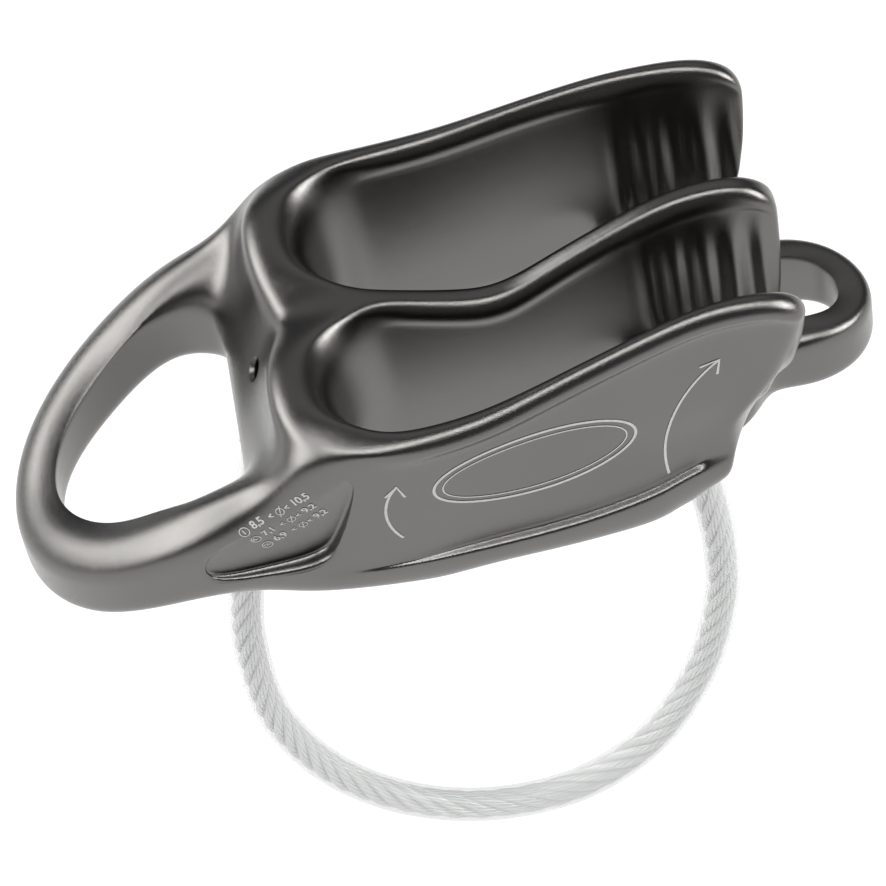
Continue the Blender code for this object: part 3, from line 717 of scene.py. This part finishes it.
# The two sockets that hold the keeper's sleeves open downwards with a flared mouth. A hole is
# drilled through the end wall into the first of them, and its edge is countersunk.
SOCKET_RADIUS = 2.6 * MM
SOCKET_DEPTH = 6.4 * MM
SOCKET_OVERRUN = 5 * MM
SOCKET_FLARE = 1.2 * MM
SOCKET_MOUTH_RADIUS = 2.95 * MM
CROSS_HOLE_AT = Vector((13.0, 0.0, 9.6)) * MM
CROSS_HOLE_RADIUS = 1.2 * MM
CROSS_HOLE_OUTSIDE = 3 * MM
CROSS_HOLE_INSIDE = 4.2 * MM
CHAMFER_RADII = (1.08 * MM, 2.625 * MM)
CHAMFER_INSIDE = 0.6 * MM
CHAMFER_OUTSIDE = 1.6 * MM
CROSS_HOLE_TILT = math.radians(25.0)
DRILL_SIDES = 96


def drill(radius, deep_radius, start, stop):
    """A round cutter from one point to another, with its own radius at each end."""
    way = stop - start
    bpy.ops.mesh.primitive_cone_add(
        vertices=DRILL_SIDES,
        radius1=radius,
        radius2=deep_radius,
        depth=way.length,
        location=(start + stop) / 2,
    )
    cutter = bpy.context.object
    cutter.rotation_euler = way.to_track_quat("Z", "Y").to_euler()
    return cutter


def carve(piece, cutters):
    for cutter in cutters:
        step = piece.modifiers.new("cut", "BOOLEAN")
        step.operation = "DIFFERENCE"
        step.solver = "EXACT"
        step.object = cutter
    finish_modifiers(piece)
    for cutter in cutters:
        bpy.data.objects.remove(cutter, do_unlink=True)


route_points = [Vector((x, 0.0, z)) * MM for x, z in LOOP_ROUTE]
anchor_way = (route_points[0] - route_points[1]).normalized()
brake_way = Vector((BRAKE_EXIT_LEAN, 0.0, 1.0)).normalized()
hole_way = Vector((-math.cos(CROSS_HOLE_TILT), 0.0, math.sin(CROSS_HOLE_TILT)))
drills = []
for mouth, way in ((route_points[0], anchor_way), (route_points[-1], brake_way)):
    below, bottom = mouth - way * SOCKET_OVERRUN, mouth + way * SOCKET_DEPTH
    drills.append(drill(SOCKET_RADIUS, SOCKET_RADIUS, below, bottom))
    drills.append(drill(SOCKET_MOUTH_RADIUS, SOCKET_RADIUS, mouth, mouth + way * SOCKET_FLARE))
hole_inside = CROSS_HOLE_AT - hole_way * CROSS_HOLE_INSIDE
hole_outside = CROSS_HOLE_AT + hole_way * CROSS_HOLE_OUTSIDE
drills.append(drill(CROSS_HOLE_RADIUS, CROSS_HOLE_RADIUS, hole_inside, hole_outside))
chamfer_inside = CROSS_HOLE_AT - hole_way * CHAMFER_INSIDE
chamfer_outside = CROSS_HOLE_AT + hole_way * CHAMFER_OUTSIDE
drills.append(drill(*CHAMFER_RADII, chamfer_inside, chamfer_outside))
carve(body, drills)

# Panel at the root of the ring's arm: a flat sunk area on the near plate, almost flush along its
# upper edge and deep along its lower edge, with a rounded outline.
PANEL_OUTLINE = [
    (4.2, 3.9),
    (5.6, 5.6),
    (13.0, 10.6),
    (19.4, 14.5),
    (21.5, 14.2),
    (21.6, 11.6),
    (18.9, 4.2),
    (17.4, 1.6),
    (14.6, 0.5),
    (10.6, 0.3),
    (7.4, 0.2),
    (4.8, 0.6),
    (3.8, 2.0),
]
PANEL_TOP_DEPTH = 0.1
PANEL_BOTTOM_DEPTH = 1.45
PANEL_TOP_AT = 5.0
PANEL_TOP_SLOPE = 0.646
PANEL_TOP_COSINE = 0.84
PANEL_HEIGHT = 8.0
PLATE_FACE_IN = 0.45
PLATE_TURN_FROM = 21.0
PLATE_TURN = 0.079
CORNER_CUTS = 4
SMOOTH_ANGLE = math.radians(32.0)
# The wall's section, from the floor's fillet to the rounded rim: inset from the outline, share of
# the depth.
PANEL_WALL = [
    (0.5, 0.0),
    (0.38, 0.01),
    (0.24, 0.05),
    (0.12, 0.13),
    (0.03, 0.27),
    (0.0, 0.45),
    (0.0, 0.6),
    (-0.03, 0.75),
    (-0.12, 0.88),
    (-0.26, 0.96),
    (-0.42, 1.0),
    (-0.55, 1.04),
    (-0.55, 4.0),
]


def panel_depth(x, z):
    """Depth of the panel's flat floor, by how far a point is below the panel's upper edge."""
    below = (PANEL_TOP_AT + (x - PANEL_TOP_AT) * PANEL_TOP_SLOPE - z) * PANEL_TOP_COSINE
    return share_between(PANEL_TOP_DEPTH, PANEL_BOTTOM_DEPTH, below / PANEL_HEIGHT)


def plate_y(x):
    """The near plate's face beside the panel, which turns in towards the ring."""
    return PLATE_FACE_IN - HALF_WIDTH + (PLATE_TURN_FROM - x) * PLATE_TURN


def rounded(corners, rounds):
    """Cuts a closed outline's corners again and again, until it is a smooth curve."""
    for _ in range(rounds):
        cut_line = []
        for a, b in zip(corners, corners[1:] + corners[:1]):
            cut_line.append((share_between(a[0], b[0], 0.25), share_between(a[1], b[1], 0.25)))
            cut_line.append((share_between(a[0], b[0], 0.75), share_between(a[1], b[1], 0.75)))
        corners = cut_line
    return corners


outline = rounded(PANEL_OUTLINE, CORNER_CUTS)
pocket = bmesh.new()
rings = []
for inset, risen in PANEL_WALL:
    ring = []
    for before, here, after in zip(outline[-1:] + outline[:-1], outline, outline[1:] + outline[:1]):
        way = Vector((after[0] - before[0], after[1] - before[1])).normalized()
        x = here[0] + way.y * inset
        z = here[1] - way.x * inset
        y = plate_y(x) + panel_depth(x, z) * (1.0 - risen)
        if risen > 1.0:  # past the rim, the cutter stands proud of the plate
            y = plate_y(x) + 1.0 - risen
        ring.append(pocket.verts.new(Vector((x, y, z)) * MM))
    rings.append(ring)
for inner, outer in zip(rings, rings[1:]):
    for i in range(len(inner)):
        j = (i + 1) % len(inner)
        pocket.faces.new((inner[i], inner[j], outer[j], outer[i]))
pocket.faces.new(rings[0])
pocket.faces.new(list(reversed(rings[-1])))
bmesh.ops.recalc_face_normals(pocket, faces=pocket.faces)
pocket_mesh = bpy.data.meshes.new("panel_pocket")
pocket.to_mesh(pocket_mesh)
pocket.free()
panel_cutter = bpy.data.objects.new("panel_pocket", pocket_mesh)
bpy.context.scene.collection.objects.link(panel_cutter)
carve(body, [panel_cutter])
bpy.ops.object.shade_smooth_by_angle(angle=SMOOTH_ANGLE)

# Finish: blasted, then anodised in a warm dark grey.
anodised = bpy.data.materials.new("dark_anodised")
anodised.use_nodes = True
nodes = anodised.node_tree.nodes
links = anodised.node_tree.links
shader = nodes["Principled BSDF"]
shader.inputs["Metallic"].default_value = 1.0
place = nodes.new("ShaderNodeTexCoord")

# Colour: warm dark grey, with faint lighter clouds from the dye bath.
clouds = nodes.new("ShaderNodeTexNoise")
clouds.inputs["Scale"].default_value = 90.0
clouds.inputs["Detail"].default_value = 4.0
dye = nodes.new("ShaderNodeMix")
dye.data_type = "RGBA"
dye.inputs["A"].default_value = (0.148, 0.144, 0.138, 1.0)
dye.inputs["B"].default_value = (0.172, 0.167, 0.16, 1.0)
links.new(place.outputs["Object"], clouds.inputs["Vector"])
links.new(clouds.outputs["Fac"], dye.inputs["Factor"])
links.new(dye.outputs["Result"], shader.inputs["Base Color"])

# Gloss: satin, a little uneven.
gloss = nodes.new("ShaderNodeMapRange")
gloss.inputs["From Min"].default_value = 0.3
gloss.inputs["From Max"].default_value = 0.7
gloss.inputs["To Min"].default_value = 0.19
gloss.inputs["To Max"].default_value = 0.23
links.new(clouds.outputs["Fac"], gloss.inputs["Value"])
links.new(gloss.outputs["Result"], shader.inputs["Roughness"])

# Surface: the blasted grain, and inside the slots the drawn lines that the forging die leaves.
grain = nodes.new("ShaderNodeGroup")
grain.node_tree = blasted_grain
grain.inputs["Scale"].default_value = 8500.0
grain.inputs["Depth"].default_value = 0.9
stretched = nodes.new("ShaderNodeMapping")
stretched.inputs["Scale"].default_value = (40.0, 40.0, 4000.0)
drawn_lines = nodes.new("ShaderNodeTexNoise")
drawn_lines.inputs["Scale"].default_value = 1.0
drawn_lines.inputs["Detail"].default_value = 3.0
lines_bump = nodes.new("ShaderNodeBump")
lines_bump.inputs["Strength"].default_value = 0.08
lines_bump.inputs["Distance"].default_value = 0.00002
links.new(place.outputs["Object"], grain.inputs["Vector"])
links.new(place.outputs["Object"], stretched.inputs["Vector"])
links.new(stretched.outputs["Vector"], drawn_lines.inputs["Vector"])
links.new(drawn_lines.outputs["Fac"], lines_bump.inputs["Height"])
links.new(grain.outputs["Normal"], lines_bump.inputs["Normal"])
links.new(lines_bump.outputs["Normal"], shader.inputs["Normal"])
body.data.materials.append(anodised)

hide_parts("forged_body")
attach(body, "device")

# Marking: pale ink printed flat on the near plate. The panel carries three rows of rope diameters
# in millimetres, each with a ringed sign, and the plate a bare oval and two plain rope lines with
# arrows.
pale_ink = bpy.data.materials.new("pale_ink")
pale_ink.use_nodes = True
nodes = pale_ink.node_tree.nodes
links = pale_ink.node_tree.links
shader = nodes["Principled BSDF"]
shader.inputs["Roughness"].default_value = 0.5
place = nodes.new("ShaderNodeTexCoord")
ink_grain = nodes.new("ShaderNodeTexNoise")
ink_grain.inputs["Scale"].default_value = 2600.0
ink_tone = nodes.new("ShaderNodeMix")
ink_tone.data_type = "RGBA"
ink_tone.inputs["A"].default_value = (0.42, 0.42, 0.41, 1.0)
ink_tone.inputs["B"].default_value = (0.62, 0.62, 0.61, 1.0)
links.new(place.outputs["Object"], ink_grain.inputs["Vector"])
links.new(ink_grain.outputs["Fac"], ink_tone.inputs["Factor"])
links.new(ink_tone.outputs["Result"], shader.inputs["Base Color"])

ROW_COSINE = 0.861
ROW_SINE = 0.508
ROW_WAY = Vector((ROW_COSINE, 0.0, ROW_SINE))
ROW_UP = Vector((-ROW_SINE, 0.0, ROW_COSINE))
FIGURE_SIZE = 1.35
SIGN_SIZE = 1.0
INK_SPREAD = 0.03 * MM
INK_THICKNESS = 0.05 * MM
PRINT_FROM = -30.0
# Along a row: its two signs and its larger figure. Beside it: the ring before the row, and the
# crossed circle between the figures.
FIRST_SIGN = 2.35
SECOND_SIGN = 4.55
LARGER_FIGURE = 5.55
ROW_RING_AT = (-1.05, -0.3)
ROW_RING_RADIUS = 0.56
ROW_RING_LINE = 0.1
CIRCLE_AT = (3.2, 2.2)
CIRCLE_RADIUS = 0.45
CIRCLE_BAR = (1.45, 2.95)
CIRCLE_LINE = 0.09
OVAL_AT = (41.0, 9.9)
OVAL_TILT = math.radians(3.0)
ROPE_LINE = 0.3
# Where each row starts, and its smallest and largest rope diameter.
TEXT_ROWS = [
    ((10.15, 8.2), ("8,5", "10,5")),
    ((11.15, 6.65), ("7,1", "9,2")),
    ((12.2, 5.1), ("6,9", "9,2")),
]
marks = []


def ink_text(words, x, z, size):
    """Figures or a sign that start at x, z and run along the rows."""
    bpy.ops.object.text_add(location=(0.0, 0.0, 0.0))
    text = bpy.context.object
    text.data.body = words
    text.data.size = size * MM
    text.data.offset = INK_SPREAD
    bpy.ops.object.convert(target="MESH")
    piece = bpy.context.object
    for vertex in piece.data.vertices:
        flat = ROW_WAY * vertex.co.x + ROW_UP * vertex.co.y
        vertex.co = Vector((x * MM + flat.x, PRINT_FROM * MM, z * MM + flat.z))
    marks.append(piece)


def ink_line(points, width, closed=False):
    """A flat strip along points on the plate, facing outwards."""
    strip = bmesh.new()
    count = len(points)
    pairs = []
    for i, (x, z) in enumerate(points):
        before = points[(i - 1) % count] if closed else points[max(i - 1, 0)]
        after = points[(i + 1) % count] if closed else points[min(i + 1, count - 1)]
        way = Vector((after[0] - before[0], after[1] - before[1])).normalized()
        sides = []
        for side in (-width / 2, width / 2):
            place = Vector((x - way.y * side, PRINT_FROM, z + way.x * side)) * MM
            sides.append(strip.verts.new(place))
        pairs.append(sides)
    for i in range(count if closed else count - 1):
        j = (i + 1) % count
        strip.faces.new((pairs[i][0], pairs[j][0], pairs[j][1], pairs[i][1]))
    mesh = bpy.data.meshes.new("ink_line")
    strip.to_mesh(mesh)
    strip.free()
    piece = bpy.data.objects.new("ink_line", mesh)
    bpy.context.scene.collection.objects.link(piece)
    marks.append(piece)


def ellipse(x, z, half_length, half_height, tilt, count):
    """Points round an ellipse that is turned by the given tilt."""
    points = []
    for i in range(count):
        turn = 2 * math.pi * i / count
        way = half_length * math.cos(turn)
        up = half_height * math.sin(turn)
        turned_x = x + way * math.cos(tilt) - up * math.sin(tilt)
        turned_z = z + way * math.sin(tilt) + up * math.cos(tilt)
        points.append((turned_x, turned_z))
    return points


def arc(x, z, radius, start, stop, count):
    turns = [math.radians(share_between(start, stop, i / (count - 1))) for i in range(count)]
    return [(x + radius * math.cos(turn), z + radius * math.sin(turn)) for turn in turns]


def along_row(x, z, distance):
    return x + distance * ROW_COSINE, z + distance * ROW_SINE


def ink_circle(x, z, radius, count, width):
    ink_line(ellipse(x, z, radius, radius, 0.0, count), width, closed=True)


for (x, z), (small, large) in TEXT_ROWS:
    ink_text(small, x, z, FIGURE_SIZE)
    ink_text("<", *along_row(x, z, FIRST_SIGN), SIGN_SIZE)
    ink_circle(x + CIRCLE_AT[0], z + CIRCLE_AT[1], CIRCLE_RADIUS, 32, CIRCLE_LINE)
    ink_line([(x + CIRCLE_AT[0], z + end) for end in CIRCLE_BAR], CIRCLE_LINE)
    ink_text("<", *along_row(x, z, SECOND_SIGN), SIGN_SIZE)
    ink_text(large, *along_row(x, z, LARGER_FIGURE), FIGURE_SIZE)
    ink_circle(x + ROW_RING_AT[0], z + ROW_RING_AT[1], ROW_RING_RADIUS, 40, ROW_RING_LINE)
ink_text("1", 9.0, 7.52, 0.85)
ink_text("½", 9.75, 5.95, 0.75)
for x, z in ((11.0, 4.72), (11.3, 4.87)):
    ink_circle(x, z, 0.2, 24, 0.07)
for half_length, half_height, width in ((11.2, 4.6, 0.32), (10.2, 3.8, 0.16)):
    ink_line(ellipse(*OVAL_AT, half_length, half_height, OVAL_TILT, 160), width, closed=True)
ink_line(arc(31.5, 7.0, 7.2, 140, 215, 60), ROPE_LINE)
ink_line([(24.6, 10.2), (26.0, 11.7), (26.7, 9.7)], ROPE_LINE)
ink_line(arc(71.5, 4.0, 16.5, 125, 188, 80), ROPE_LINE)
ink_line([(59.9, 17.2), (62.1, 17.6), (61.7, 15.3)], ROPE_LINE)
bpy.ops.object.select_all(action="DESELECT")
for piece in marks:
    piece.select_set(True)
bpy.context.view_layer.objects.active = marks[0]
bpy.ops.object.join()
marking = bpy.context.object
marking.name = "marking"
marking.data.materials.clear()
marking.data.materials.append(pale_ink)
laid = marking.modifiers.new("laid_on_plate", "SHRINKWRAP")
laid.wrap_method = "PROJECT"
laid.use_project_y = True
laid.use_positive_direction = True
laid.target = body
laid.offset = INK_THICKNESS
finish_modifiers(marking)
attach(marking, "device")
